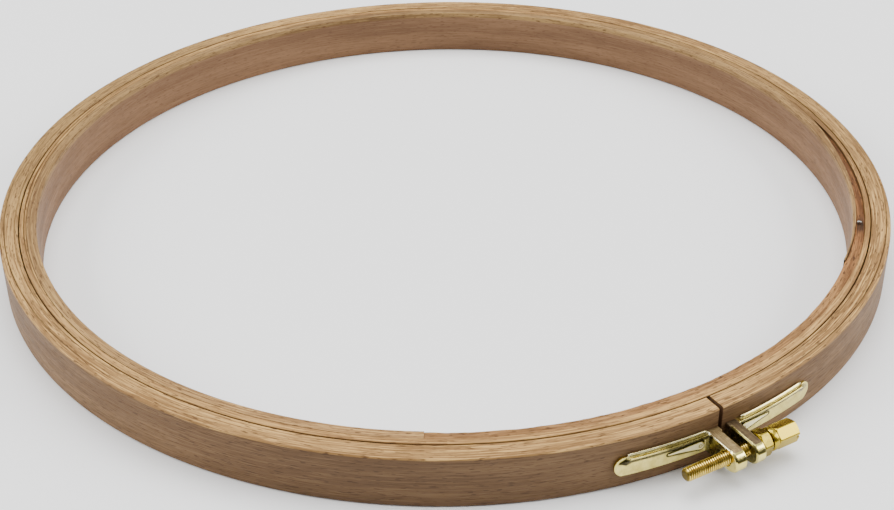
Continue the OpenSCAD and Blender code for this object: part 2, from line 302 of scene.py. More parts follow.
class Section:
    """The outline of a wooden strip at every azimuth at once. Points run round it from the bottom's
    inner edge outward, up the outer wall, back over the top and down the inner wall."""

    def __init__(self, azimuth, stain=0.0):
        self.azimuth = azimuth
        self.stain = stain
        self.radius, self.height, self.mark, self.zone = [], [], [], []

    def add(self, radius, height, zone, mark=0.0):
        blank = np.zeros(len(self.azimuth))
        self.radius.append(blank + radius)
        self.height.append(blank + height)
        self.mark.append(blank + mark)
        self.zone.append(zone)

    def straight(self, start, end, count, zone, mark=0.0):
        """Points between start and end, without either."""
        for step in range(1, count + 1):
            share = step / (count + 1)
            radius, height = (near + (far - near) * share for near, far in zip(start, end))
            self.add(radius, height, zone, mark)

    def corner(self, centre_r, centre_z, size, from_angle, zone, marks=(0.0, 0.0)):
        """A quarter round, with the darkness of its first and last point."""
        for step in range(ARC_STEPS + 1):
            share = step / ARC_STEPS
            angle = math.radians(from_angle + 90 * share)
            self.add(
                centre_r + size * math.cos(angle),
                centre_z + size * math.sin(angle),
                zone,
                marks[0] * (1 - share) ** MARK_FALL + marks[1] * share**MARK_FALL,
            )

    def top(self, outer, inner, level, tracks):
        """The top face from its outer to its inner edge. A track is a fine groove that follows
        (azimuth, radius) points, with (azimuth, depth) points that also set how dark it is."""
        last = outer
        for path, depths, half in tracks:
            depth = along_ring(self.azimuth, depths)
            middle = along_ring(self.azimuth, path)
            middle = np.clip(middle, inner + 2 * half, last - 2 * half)
            self.fill_top(last, middle + half, level)
            for offset, share in ((1, 0), (0.5, 0.6), (0, 1), (-0.5, 0.6), (-1, 0)):
                ink = np.clip(depth * share / GROOVE_DEPTH, 0, 1)
                self.add(middle + offset * half, level - depth * share, "top", ink)
            last = middle - half
        self.fill_top(last, inner, level)

    def fill_top(self, outer, inner, level):
        count = max(1, int(np.mean(outer - inner) / TOP_STEP))
        self.straight((outer, level), (inner, level), count, "top", self.stain)


def strip_section(
    azimuth, inner, outer, level, eases, tracks=(), edge_marks=(0.0, 0.0), stain=0.0
):
    """A strip between two radii. eases are its rounds at the bottom inside, bottom outside, top
    outside and top inside, edge_marks the darkness of its top outside and top inside edge, and
    stain that of its top."""
    low_in, low_out, high_out, high_in = eases
    section = Section(azimuth, stain)
    section.straight((inner + low_in, 0.0), (outer - low_out, 0.0), BOTTOM_STEPS, "wall_out")
    section.corner(outer - low_out, low_out, low_out, -90, "wall_out")
    section.straight((outer, low_out), (outer, level - high_out), WALL_STEPS, "wall_out")
    section.corner(outer - high_out, level - high_out, high_out, 0, "top", (edge_marks[0], 0.0))
    section.top(outer - high_out, inner + high_in, level, tracks)
    section.corner(inner + high_in, level - high_in, high_in, 90, "top", (0.0, edge_marks[1]))
    section.straight((inner, level - high_in), (inner, low_in), WALL_STEPS, "wall_in")
    section.corner(inner + low_in, low_in, low_in, 180, "wall_in")
    return section


def ring_piece(name, section, closed, materials, reliefs, tint=0.0):
    """The mesh of a strip. materials has one for each zone: top, wall_out, wall_in and end. reliefs
    are the top's rough layers, each with its height, seed, and its spots' length and width. tint
    is how far its colour goes over to the material's second pair, by azimuth."""
    radius = np.stack(section.radius, 1)
    height = np.stack(section.height, 1)
    rows, points = radius.shape
    angle = np.radians(section.azimuth)[:, None]
    arc = angle * STRIP_IN_R + np.zeros_like(radius)
    on_top = np.array([zone == "top" for zone in section.zone], float)
    relief = sum(size * cell_noise(arc, radius, *spots) for size, *spots in reliefs)
    height = height + relief * on_top
    places = np.stack([radius * np.sin(angle), -radius * np.cos(angle), height], 2)
    quads = grid_quads(rows, points, closed)
    grain = np.stack([arc, radius, height], 2).reshape(-1, 3)
    corner_grain = grain[quads]
    if closed:
        corner_grain[-points:, 1:3, 0] += 2 * math.pi * STRIP_IN_R
    corner_list = [corner_grain.reshape(-1, 3)]
    faces = quads.tolist()
    names = ["top", "wall_out", "wall_in", "end"]
    zones = [names.index(zone) for zone in section.zone] * (len(quads) // points)
    if not closed:
        start = list(range(points))
        end = list(range((rows - 1) * points, rows * points))[::-1]
        faces += [start, end]
        zones += [names.index("end")] * 2
        corner_list += [grain[start], grain[end]]
    mesh = smooth_mesh(name, (places.reshape(-1, 3) * MM).tolist(), faces, materials, 50)
    mesh.polygons.foreach_set("material_index", zones)
    add_attribute(mesh, "grain", np.concatenate(corner_list), "FLOAT_VECTOR", "CORNER")
    add_attribute(mesh, "mark", np.stack(section.mark, 1))
    add_attribute(mesh, "tint", np.zeros_like(radius) + np.reshape(tint, (-1, 1)))
    mesh.update()
    return new_object(name, mesh)


def even_azimuths(start, end):
    return np.linspace(start, end, int(round((end - start) / AZIMUTH_STEP)) + 1)


# Wooden pieces


def outer_ring(materials):
    half_gap = math.degrees(SPLIT_W / 2 / ((STRIP_IN_R + STRIP_R) / 2))
    azimuth = even_azimuths(SPLIT_AZIMUTH + half_gap, SPLIT_AZIMUTH + 360 - half_gap)
    back = SPLIT_AZIMUTH + 180
    azimuth = np.unique(np.concatenate([azimuth, back + np.linspace(-0.25, 0.25, 9)]))
    inner = STRIP_IN_R + wobble(azimuth, 11, 0.02)
    outer = STRIP_R - 0.05 + wobble(azimuth, 12, 0.03)
    outer_track = (
        ((30, 142.2), (35, 142.3), (80, 143.3), (93, 143.9), (265, 143.7), (275, 143.3),
         (300, 142.4), (322, 142.1), (390, 142.2)),
        ((31, 0), (36, 0.12), (45, 0.25), (78, 0.25), (94, 0), (262, 0), (275, 0.2),
         (290, 0.25), (308, 0.22), (324, 0)),
        GROOVE_HALF,
    )
    inner_track = (
        ((30, 139.5), (110, 139.7), (250, 139.8), (390, 139.5)),
        ((36, 0), (42, 0.16), (58, 0.16), (64, 0), (150, 0), (160, 0.12), (200, 0.15), (214, 0),
         (262, 0), (270, 0.14), (304, 0.18), (318, 0.16), (326, 0)),
        GROOVE_HALF * 0.7,
    )
    ease = 0.42 + wobble(azimuth, 13, 0.05)
    section = strip_section(
        azimuth, inner, outer, RING_H, (0.4, ease, ease, 0.3 + wobble(azimuth, 14, 0.04)),
        (outer_track, inner_track), (0.0, 0.75),
    )
    # The tint paints shade on the outer wall, darker towards the front; on the top it makes the
    # back and the right side darker.
    tint = along_ring(azimuth, (
        (30, -1), (31, -0.6), (34, 0), (80, 0), (95, 0.45), (125, 0.3), (135, 0), (205, 0),
        (222, 1), (262, 1), (290, 0.3), (305, 0), (330, -0.1), (345, -0.6), (360, -0.9),
        (391, -1),
    ))
    ring = ring_piece("outer_ring_wood", section, False, materials, [(0.03, 15, 14, 0.5)], tint)
    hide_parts("outer_ring_left", "outer_ring_right")
    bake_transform(ring)


def channel(azimuth):
    """How much wider the sunk channel is than the inner layer, towards the outer ply."""
    return along_ring(azimuth, ((60, 0), (70, 0.5), (100, 0.55), (108, 0), (420, 0), (430, 0.5)))


def scarf_wall(azimuth):
    """Radius of the scarf joint on the inner ply's side."""
    points = ((66, 132.95), (68, 133.1), (71.5, 133.45), (75, 133.75), (79, 133.95), (88, 134.3),
              (97, 134.8), (103, 135.6), (107, 136.1))
    return along_ring(azimuth, points)


def outer_ply(materials):
    azimuth = even_azimuths(0, 360)[:-1]
    inner = OUTER_PLY_IN_R + channel(azimuth) + wobble(azimuth, 21, 0.02)
    outer = OUTER_PLY_R - 0.03 + wobble(azimuth, 22, 0.03)
    scarf = (
        ((0, 136.6), (230, 137.95), (236, 137.9), (250, 137.4), (270, 137.1), (300, 136.5),
         (325, 136.4), (360, 136.6)),
        ((232, 0), (240, 0.2), (255, 0.25), (285, 0.25), (303, 0)),
        GROOVE_HALF,
    )
    section = strip_section(
        azimuth, inner, outer, RING_H, (0.1, 0.4, 0.3 + wobble(azimuth, 23, 0.04), 0.16),
        (scarf,), (0.65, 1.0),
    )
    tint = along_ring(azimuth, (
        (0, 0.1), (90, 0.15), (108, 1), (148, 1), (162, 0), (205, 0), (225, 0.5), (250, 0.5),
        (290, 0.4), (328, 0.4), (340, 0), (360, 0.1),
    ))
    piece = ring_piece("outer_ply_wood", section, True, materials, [(0.025, 24, 12, 0.4)], tint)
    inner_layer(piece, "inner_ring_outer_ply")


def inner_layer(piece, node):
    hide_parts(node)
    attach(piece, "inner_ring")


def inner_ply(materials):
    """The light inner ply. Between the scarf's two ends only its tapering end shows, which lies on
    the opening's side of the joint."""
    azimuth = even_azimuths(FEATHER_AZIMUTH, 360 + BUTT_AZIMUTH)
    in_scarf = azimuth < SCARF_END
    inner = OPENING_R + 0.02 + wobble(azimuth, 31, 0.01)
    outer = np.where(in_scarf, scarf_wall(azimuth), INNER_PLY_R) + wobble(azimuth, 32, 0.01)
    outer = np.minimum(outer, INNER_PLY_R)
    ease = np.minimum(0.35, (outer - inner) * 0.3)
    grain_line = (
        ((70, 133.2), (110, 135.1), (200, 134.3), (290, 135.0), (360, 134.2)),
        ((112, 0), (130, 0.06), (170, 0.08), (190, 0), (262, 0), (280, 0.1), (330, 0.08),
         (352, 0)),
        0.1,
    )
    section = strip_section(
        azimuth, inner, outer, RING_H, (ease, 0.06, 0.14, ease), (grain_line,), (1.0, 0.0)
    )
    tint = along_ring(azimuth, (
        (66, 0.7), (150, 0.85), (210, 1), (250, 1), (290, 0.7), (320, 0.35), (345, 0),
    ))
    piece = ring_piece("inner_ply_wood", section, False, materials, [(0.02, 33, 11, 0.4)], tint)
    inner_layer(piece, "inner_ring_inner_ply")


def closing_strip(materials):
    """The redder strip. Its top is sunk and torn, and lies open where the scarf joint runs."""
    azimuth = even_azimuths(BUTT_AZIMUTH + 0.02, SCARF_END - 1.5)
    inner = np.where(azimuth > FEATHER_AZIMUTH, scarf_wall(azimuth) + GLUE_LINE, OPENING_R)
    outer = INNER_PLY_R + channel(azimuth)
    ease = np.minimum(0.3, (outer - inner) * 0.3)
    drop = along_ring(azimuth, (
        (-3, 0.25), (5, 0.45), (40, 0.6), (66, 0.65), (72, 0.95), (98, 0.95), (106, 0.6),
    ))
    stain = along_ring(azimuth, (
        (-3, 0.15), (66, 0.1), (74.5, 0.1), (75.5, 0.7), (78, 0.6), (79.5, 0.1), (96, 0.15),
        (97.2, 0.65), (98.6, 0.5), (100, 0.2),
    ))
    section = strip_section(
        azimuth, inner, outer, RING_H - drop + wobble(azimuth, 41, 0.05, 25),
        (ease, 0.06, 0.12, ease), (), (0.9, 0.25), stain * (0.8 + wobble(azimuth, 44, 0.3, 60)),
    )
    red = along_ring(azimuth, ((-3, 0.12), (55, 0.15), (68, 0.75), (72, 1.0), (110, 1.0)))
    red = np.clip(red + wobble(azimuth, 45, 0.1, 40), 0, 1)
    torn = [(0.14, 42, 5, 0.7), (0.08, 43, 1.6, 0.35)]
    piece = ring_piece("closing_strip_wood", section, False, materials, torn, red)
    inner_layer(piece, "inner_ring_closing_strip")


# Metal pieces


def staple(material):
    """A flattened wire, bent over the joint, with its legs in the wood."""
    half = STAPLE_SPAN / 2
    top = RING_H - CLOSING_DROP + STAPLE_WIRE / 2
    centre_x, centre_z = -half + STAPLE_BEND, top - STAPLE_BEND
    line = [(-half, top - STAPLE_LEG), (-half, centre_z)]
    for step in range(1, STAPLE_BEND_STEPS + 1):
        angle = math.radians(180 - 90 / STAPLE_BEND_STEPS * step)
        line.append((
            centre_x + STAPLE_BEND * math.cos(angle), centre_z + STAPLE_BEND * math.sin(angle)
        ))
    line += [(-x, z) for x, z in reversed(line)]
    azimuth = math.radians(STAPLE_AZIMUTH)
    out = np.array([math.sin(azimuth), -math.cos(azimuth), 0])
    along = np.array([math.cos(azimuth), math.sin(azimuth), 0])
    places = []
    for (x, z), (ahead_x, ahead_z) in zip(line, directions(np.array(line))):
        for corner in range(STAPLE_SIDES):
            angle = 2 * math.pi * corner / STAPLE_SIDES
            across, thick = math.cos(angle), math.sin(angle)
            across = STAPLE_HALF_W * math.copysign(abs(across) ** STAPLE_SQUARE, across)
            thick = STAPLE_HALF_T * math.copysign(abs(thick) ** STAPLE_SQUARE, thick)
            outward, up = x + ahead_z * thick, z - ahead_x * thick
            places.append(((STAPLE_R + outward) * out + along * across + UPWARD * up) * MM)
    faces = tube_faces(len(line), STAPLE_SIDES)
    mesh = smooth_mesh("staple_wire", [tuple(place) for place in places], faces, [material], 60)
    inner_layer(new_object("staple_wire", mesh), "scarf_staple")


def split_coordinates(mesh):
    """Each vertex as (to the right, out from the wall, up) at the split, in millimetres."""
    places = read_vectors(mesh.vertices, "co") / MM
    return np.stack([places @ RIGHTWARD, places @ OUTWARD - STRIP_R, places[:, 2]], 1)


def plate_coordinates(mesh, side):
    """As split_coordinates, but to the right or left by side, and out from the curved wall."""
    right, out, up = split_coordinates(mesh).T
    return side * right, out + right**2 / (2 * STRIP_R), up


def add_local(mesh):
    add_attribute(mesh, "local", split_coordinates(mesh), "FLOAT_VECTOR")


def rim_line(side, ear_side, rib_end):
    """The rim's middle line, as (right, out, up) at the split: along the plate's top edge from the
    rib's far end, round the corner and along the ear's outer side. side is 1 for the right
    bracket."""
    line = []
    for reach in np.linspace(rib_end, ear_side + RIM_CORNER, RIM_PLATE_STEPS):
        turn = reach / STRIP_R
        out = (STRIP_R + RIM_PLATE_OUT) * math.cos(turn) - STRIP_R
        line.append((reach, out, RIM_PLATE_UP))
    centre_out = line[-1][1] + RIM_CORNER
    ear_up = EAR_TOP - RIM_EAR_DOWN
    for step in range(1, RIM_CORNER_STEPS + 1):
        angle = math.radians(90 * step / RIM_CORNER_STEPS)
        line.append((
            ear_side + RIM_CORNER - (RIM_CORNER + RIM_EAR_IN) * math.sin(angle),
            centre_out - RIM_CORNER * math.cos(angle),
            RIM_PLATE_UP + (ear_up - RIM_PLATE_UP) * step / RIM_CORNER_STEPS,
        ))
    for out in np.linspace(centre_out + RIM_EAR_START, EAR_ROUND_OUT, RIM_EAR_STEPS):
        line.append((ear_side - RIM_EAR_IN, out, ear_up))
    return np.array([(side * right, out, up) for right, out, up in line])


def at_split(line):
    """Places in millimetres of points given as (right, out, up) at the split."""
    line = np.asarray(line, float)
    return (STRIP_R + line[:, 1:2]) * OUTWARD + line[:, 0:1] * RIGHTWARD + line[:, 2:3] * UPWARD


def add_rim(work, line):
    """Adds the rim's tube to a mesh in millimetres, which is then remeshed as one with it."""
    centres = at_split(line)
    ahead = directions(centres)
    across = np.cross(ahead, UPWARD)
    across /= np.linalg.norm(across, axis=1)[:, None]
    above = np.cross(across, ahead)
    sizes = np.interp(line[:, 1], RIM_THINS, (RIM_PLATE_R, RIM_EAR_R))
    sizes[[0, -1]] *= RIM_END_SHARE
    corners = []
    for centre, level, lift, size in zip(centres, across, above, sizes):
        for corner in range(RIM_SIDES):
            angle = 2 * math.pi * corner / RIM_SIDES
            place = centre + size * (level * math.cos(angle) + lift * math.sin(angle))
            corners.append(work.verts.new(place))
    for face in tube_faces(len(line), RIM_SIDES):
        work.faces.new([corners[index] for index in face])


def add_hip(work, side, rib_end):
    """Adds the sloping end of the rib: a ridge from the crest's end down to the plate."""
    def place(reach, out, up):
        turn, radius = reach / STRIP_R, STRIP_R + out
        return side * radius * math.sin(turn), radius * math.cos(turn) - STRIP_R, up

    near, tip = rib_end - HIP_LAP, rib_end + HIP_L
    points = [
        place(near, RIB_OUT, HIP_UP + 0.3), place(near, PLATE_T, RIB_FOOT_UP),
        place(near, IN_PLATE, RIB_FOOT_UP), place(near, IN_PLATE, PLATE_UP),
        place(near, PLATE_T + 0.2, PLATE_UP), place(rib_end, RIB_OUT, HIP_UP),
        place(rib_end, PLATE_T, RIB_FOOT_UP - 0.2), place(rib_end + 0.6, PLATE_T, HIP_FOOT_UP),
        place(rib_end + 0.7, PLATE_T - 0.2, PLATE_UP - 0.1),
        place(tip, PLATE_T - 0.02, HIP_TIP_UP), place(tip, IN_PLATE, HIP_TIP_UP),
        place(rib_end + 0.6, IN_PLATE, PLATE_UP - 0.1),
    ]
    corners = [work.verts.new(corner) for corner in at_split(points)]
    hull = bmesh.ops.convex_hull(work, input=corners)
    loose = [item for item in hull["geom_interior"] + hull["geom_unused"]
             if isinstance(item, bmesh.types.BMVert)]
    bmesh.ops.delete(work, geom=list(dict.fromkeys(loose)), context="VERTS")


def resample(line, step):
    """Points along a line of straight pieces, about step apart."""
    pieces = []
    for start, end in zip(line, line[1:]):
        count = max(1, int(np.linalg.norm(end - start) / step))
        pieces += [start + (end - start) * place / count for place in range(count)]
    return np.array(pieces + [line[-1]])


def add_creases(mesh):
    """How hollow the surface is at each vertex, from -1 on a ridge to 1 in a crease."""
    count = len(mesh.vertices)
    places = read_vectors(mesh.vertices, "co", np.float64) / MM
    normals = read_vectors(mesh.vertices, "normal", np.float64)
    edges = np.empty(len(mesh.edges) * 2, np.int64)
    mesh.edges.foreach_get("vertices", edges)
    first, second = edges.reshape(-1, 2).T
    degree = np.bincount(first, minlength=count) + np.bincount(second, minlength=count)

    def neighbours(values):
        total = np.zeros_like(values)
        np.add.at(total, first, values[second])
        np.add.at(total, second, values[first])
        return total / np.maximum(degree, 1).reshape((-1,) + (1,) * (values.ndim - 1))

    spread = places
    for _ in range(CREASE_SPREAD):
        spread = neighbours(spread)
    hollow = np.einsum("ij,ij->i", spread - places, normals)
    for _ in range(3):
        hollow = neighbours(hollow)
    add_attribute(mesh, "hollow", np.clip(hollow / CREASE_SIZE, -1, 1))


def rise(value, low, high):
    """From 0 below low to 1 above high."""
    share = np.clip((value - low) / (high - low), 0, 1)
    return share * share * (3 - 2 * share)


def fall(value, low, high):
    """From 1 below low to 0 above high."""
    return rise(-value, -high, -low)


def beside_drop(right, up):
    """How far places on a plate are from the outline of its raised drop. Inside is negative."""
    along = np.clip((right - DROP_MIDDLE) / DROP_L, 0, 1)
    size = DROP_R + (DROP_TIP_R - DROP_R) * along
    return np.hypot(right - DROP_MIDDLE - along * DROP_L, up - DROP_UP) - size


def flatten_drop(mesh, side, ear_side):
    """Makes the drop a little flatter, as wear and polish left it."""
    right, out, up = plate_coordinates(mesh, side)
    share = fall(beside_drop(right, up), 0.2, 0.5) * rise(right, ear_side + 0.3, ear_side + 0.9)
    back = DROP_FLATTER * share * np.clip(out - PLATE_T, 0, 2)
    places = read_vectors(mesh.vertices, "co") - back[:, None] * OUTWARD * MM
    mesh.vertices.foreach_set("co", places.astype(np.float32).ravel())
    mesh.update()


def add_shade(mesh, side, ear_side, ear_near, rib_end, painted_shade, line):
    """How much painted shade each vertex of a casting gets, from 0 to 1, and how near it is to the
    bright rim, which sets its painted highlight. The rib's level top, the slope under it, the line
    round the drop, the ear's sides and all undersides are darkened as painted shade and painted
    reflections of dark surroundings."""
    normals = read_vectors(mesh.vertices, "normal")
    right, out, up = plate_coordinates(mesh, side)
    facing_out, facing_side = normals @ OUTWARD, side * (normals @ RIGHTWARD)
    facing_up = normals[:, 2]

    # Each part below is painted shade or a painted dark reflection, laid on by place and facing.
    on_plate = rise(right, ear_side, ear_side + 0.4) * fall(out, *ON_PLATE_OUT)
    on_rib = on_plate * rise(up, RIB_FOOT_UP - 0.1, RIB_FOOT_UP + 0.2)
    near_ear = fall(right, BAND_END - BAND_FADE, BAND_END + BAND_FADE)
    land = on_rib * rise(facing_up, 0.3, 0.8) * (0.08 + 0.72 * near_ear * painted_shade)
    from_drop = beside_drop(right, up)
    off_drop = rise(from_drop, 0.0, 0.2)
    band = on_rib * near_ear * off_drop * 0.8 * painted_shade
    under_rib = on_rib * fall(facing_up, -0.3, -0.05) * 0.85
    ear_side_face = rise(facing_side, 0.5, 0.9) * fall(out, *EAR_SIDE_OUT) * (1 - on_plate) * 0.75
    split_side_face = fall(facing_side, -0.9, -0.5) * 0.8
    below = fall(facing_up, -0.8, -0.35) * 0.55
    low = fall(out, *LOW_OUT)
    past_start = low * rise(right, *DROP_START)
    foot = past_start * rise(from_drop, -0.12, 0.06) * fall(from_drop, 0.3, 0.75)
    from_dimple = np.abs(np.hypot(right - DROP_MIDDLE, up - DROP_UP) - DIMPLE_R)
    dimple = on_plate * fall(from_dimple, 0.1, 0.28) * 0.75
    fillet = rise(out, *ABOVE_PLATE_OUT) * fall(right, ear_side + 1.0, ear_side + 1.4)
    fillet *= off_drop * low * fall(facing_up, 0.3, 0.6) * 0.85
    lower = fall(up, DROP_UP - 0.4, DROP_UP)
    lip = past_start * lower * rise(from_drop, -0.5, -0.3) * fall(from_drop, 0.1, 0.3) * 0.95
    lip *= rise(out, 1.1, ABOVE_PLATE_OUT[1])
    drop = fall(from_drop + 0.4 * lower, -0.3, -0.05) * rise(out, 1.05, 1.15) * (facing_up < 0.5)
    # The rib's sloping end is painted near black: a painted reflection of dark surroundings.
    hip = rise(right, rib_end - 0.1, rib_end + 0.15) * rise(out, 1.02, 1.12) * painted_shade
    hip *= fall(up, *HIP_SHADE_UP)
    split_edge = fall(right, ear_near + 0.3, ear_near + 0.5) * rise(up, *SPLIT_EDGE_UP) * 0.85
    # A painted dark line along the lower edge of the highlight on the ear's round end.
    ear_line = rise(out, *EAR_LINE_OUT) * rise(facing_up, 0.26, 0.36) * fall(facing_up, 0.5, 0.6)
    ear_line *= rise(facing_out, 0.4, 0.6) * 0.95
    parts = [land, band, under_rib, ear_side_face, split_side_face, below, foot, dimple, fillet,
             lip, hip, split_edge, ear_line]
    tree = KDTree(len(line))
    for index, place in enumerate(line):
        tree.insert(place, index)
    tree.balance()
    local = split_coordinates(mesh)
    near = np.full(len(local), FAR_FROM_RIM)
    for index in np.nonzero(up > RIM_PLATE_UP - 0.8)[0]:
        near[index] = tree.find(local[index])[2]
    # rim is a painted highlight along the rim's tube and over the drop, but not in the dimple.
    rim = np.maximum(fall(near, RIM_EAR_R, RIM_PLATE_R + 0.2), drop) * (1 - dimple)
    add_attribute(mesh, "shade", np.max(parts, axis=0) * (1 - rim))
    add_attribute(mesh, "rim", rim)


def cast_bracket(name, node, body, materials, side, ear_side, ear_near, rib_end):
    """The bracket's own form with the soft edges of a casting, and the bright rim along its plate
    and ear. The flat top of its ear is sawn."""
    mesh = frame["nodes"][node].data.copy()
    mesh.transform(Matrix.Scale(1 / MM, 4))
    work = new_object(name + "_work", mesh)
    merged = bmesh.new()
    merged.from_mesh(mesh)
    bmesh.ops.remove_doubles(merged, verts=merged.verts, dist=0.001)
    line = rim_line(side, ear_side, rib_end)
    if side > 0:
        line = line[line[:, 0] > ear_side + RIM_CORNER - 0.01]
    add_rim(merged, line)
    add_hip(merged, side, rib_end)
    bmesh.ops.recalc_face_normals(merged, faces=merged.faces)
    merged.to_mesh(mesh)
    merged.free()
    remesh = work.modifiers.new("remesh", "REMESH")
    remesh.mode = "VOXEL"
    remesh.voxel_size = CAST_VOXEL
    smooth = work.modifiers.new("smooth", "SMOOTH")
    smooth.factor = 0.5
    smooth.iterations = CAST_SMOOTH
    result = evaluated(work)
    bpy.data.objects.remove(work)
    result.name = name
    result.transform(Matrix.Scale(MM, 4))
    result.materials.clear()
    for material in materials:
        result.materials.append(material)
    result.shade_smooth()
    flatten_drop(result, side, ear_side)
    add_local(result)
    add_creases(result)
    fine = resample(line, 0.1)
    painted_shade = LEFT_PAINTED_SHADE if side < 0 else RIGHT_PAINTED_SHADE
    add_shade(result, side, ear_side, ear_near, rib_end, painted_shade, fine)
    local = split_coordinates(result)
    slots = []
    for polygon in result.polygons:
        right, out, up = local[polygon.vertices[0]]
        right *= side
        flat_top = polygon.normal.z > 0.9 and up > EAR_TOP - 0.25
        clear_of_rim = right < ear_side - RIM_EAR_IN - RIM_EAR_R
        on_toe = right < ear_near + 0.15 and out < RIB_OUT + 0.3
        slots.append(1 if (flat_top and clear_of_rim) or on_toe else 0)
    result.polygons.foreach_set("material_index", slots)
    piece = new_object(name, result)
    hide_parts(node)
    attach(piece, body)


def on_screw(radius, angle, along):
    """Places in metres of points given round the screw's axis. angle runs down from outward."""
    x, down = radius * np.cos(angle), radius * np.sin(angle)
    return (
        (STRIP_R + SCREW_OUT + x)[..., None] * OUTWARD
        + along[..., None] * RIGHTWARD
        + (SCREW_Z - down)[..., None] * UPWARD
    ) * MM


def turned(name, rings, material, looped=False, grooved=False):
    """A mesh from rings round the screw's axis. A ring is (place along it, radius), and the radius
    may be an array round the ring. looped joins the last ring to the first, as in a nut, and
    grooved marks the grooves of a thread as hollow."""
    angle = np.linspace(0, 2 * math.pi, SCREW_COLUMNS, endpoint=False)
    along = np.array([np.zeros(SCREW_COLUMNS) + ring[0] for ring in rings])
    radius = np.array([np.zeros(SCREW_COLUMNS) + ring[1] for ring in rings])
    places = on_screw(radius, angle, along).reshape(-1, 3)
    faces = tube_faces(len(rings), SCREW_COLUMNS, looped)
    mesh = smooth_mesh(name, places.tolist(), faces, [material], 45)
    add_local(mesh)
    # The grooves' depth is kept as hollow, which the metal darkens as painted shade.
    if grooved:
        depth = np.clip((THREAD_R - radius) / THREAD_DEPTH, 0, 1)
        add_attribute(mesh, "hollow", depth * GROOVE_DARK)
    return new_object(name, mesh)


def soft_min(first, second, power):
    """The smaller of two radii, rounded where they meet. A higher power rounds less."""
    return (first**-power + second**-power) ** (-1 / power)


def hexagon(across_flats):
    """The radius round a hexagon with slightly broken corners, a flat turned up by HEX_TURN."""
    angle = np.degrees(np.linspace(0, 2 * math.pi, SCREW_COLUMNS, endpoint=False))
    from_flat = (angle + HEX_TURN + 30) % 60 - 30
    corner = across_flats / 2 / math.cos(math.radians(30))
    return soft_min(across_flats / 2 / np.cos(np.radians(from_flat)), corner - 0.05, 90.0)


def hex_rings(across_flats, start, end, bevel_start, bevel_end):
    """Rings of a hexagonal bar whose ends are turned to a cone."""
    outline = hexagon(across_flats)
    corner = across_flats / 2 / math.cos(math.radians(30))
    rings = []
    fine = np.linspace(0, 1, 9) ** 1.5 * 0.9
    places = np.concatenate([start + fine, np.linspace(start + 1, end - 1, 6), end - fine[::-1]])
    for place in places:
        room = min(place - start - bevel_start, end - place - bevel_end)
        limit = np.full(len(outline), corner + min(5.0, BEVEL_RUN * room))
        rings.append((place, soft_min(outline, limit, 60.0)))
    return rings


def thread_radius(place):
    """The radius round the threaded rod at a place along it: a rounded 60 degree thread."""
    angle = np.linspace(0, 1, SCREW_COLUMNS, endpoint=False)
    phase = (place / PITCH + angle) % 1
    groove = np.abs(phase * 2 - 1)
    groove = np.clip((groove - THREAD_CREST) / THREAD_FLANK, 0, 1)
    groove = groove * groove * (3 - 2 * groove) * 0.4 + groove * 0.6
    return THREAD_R - THREAD_DEPTH * groove


def clamp_screw(thread, turned_brass):
    rings = [(-TIP_REACH + 0.02, 0.4), (-TIP_REACH, 0.7)]
    for place in np.arange(-TIP_REACH, NUT_FAR - 0.2, PITCH / 10):
        from_tip = place + TIP_REACH
        bevel = THREAD_R - TIP_BEVEL * (1 - min(1.0, from_tip / TIP_BEVEL)) ** 1.4
        rings.append((place + 0.03, np.minimum(thread_radius(place), bevel)))
    rod = turned("clamp_screw_rod", rings, thread, grooved=True)
    ride_screw(rod, "clamp_screw")
    rings = [(NUT_FAR - 0.25, THREAD_R), (NUT_FAR - 0.02, THREAD_R), (NUT_FAR, NECK_R - 0.1)]
    rings += [(NUT_FAR + 0.1, NECK_R), (SHOULDER_NEAR, NECK_R)]
    rings += rounded_edge(SHOULDER_NEAR, SHOULDER_R, SHOULDER_ROUND_NEAR, 1)
    rings += rounded_edge(HEAD_NEAR, SHOULDER_R, SHOULDER_ROUND_FAR, -1)
    shoulder = turned("clamp_screw_shoulder", rings, turned_brass)
    ride_screw(shoulder)
    rings = [(HEAD_NEAR, 0.5)] + [(HEAD_NEAR, share * 2.9) for share in (0.4, 0.8, 1.0)]
    rings += hex_rings(HEAD_AF, HEAD_NEAR, HEAD_FAR, HEAD_BEVEL_NEAR, HEAD_BEVEL_FAR)
    rings += [(HEAD_FAR, radius) for radius in (2.3, 1.5, 0.5)]
    head = turned("clamp_screw_head", rings, turned_brass)
    cut_slot(head)
    ride_screw(head)


def rounded_edge(place, radius, size, side):
    """Rings of a rounded edge at place. The body lies to the right for side 1, left for -1."""
    rings = []
    for step in range(7):
        angle = math.radians(15 * step)
        rings.append(
            (place + side * size * (1 - math.sin(angle)), radius - size * (1 - math.cos(angle)))
        )
    return rings[::-1] if side > 0 else rings


def ride_screw(piece, *nodes):
    if nodes:
        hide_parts(*nodes)
    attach(piece, "screw")


def cut_slot(head):
    cutter_mesh = bpy.data.meshes.new("slot_cutter")
    box = bmesh.new()
    bmesh.ops.create_cube(box, size=1.0)
    box.to_mesh(cutter_mesh)
    box.free()
    cutter = new_object("slot_cutter", cutter_mesh)
    middle = (STRIP_R + SCREW_OUT) * OUTWARD + HEAD_FAR * RIGHTWARD + SCREW_Z * UPWARD
    turn = Matrix((OUTWARD, RIGHTWARD, UPWARD)).transposed().to_4x4()
    size = Matrix.Diagonal((SLOT_CUT_L * MM, 2 * SLOT_DEPTH * MM, SLOT_W * MM, 1))
    cutter.matrix_world = Matrix.Translation(Vector(middle * MM)) @ turn @ size
    cut = head.modifiers.new("slot", "BOOLEAN")
    cut.operation = "DIFFERENCE"
    cut.solver = "EXACT"
    cut.object = cutter
    bpy.context.view_layer.update()
    mesh = evaluated(head)
    head.modifiers.clear()
    head.data = mesh
    bpy.data.objects.remove(cutter)
    mesh.set_sharp_from_angle(angle=math.radians(40))


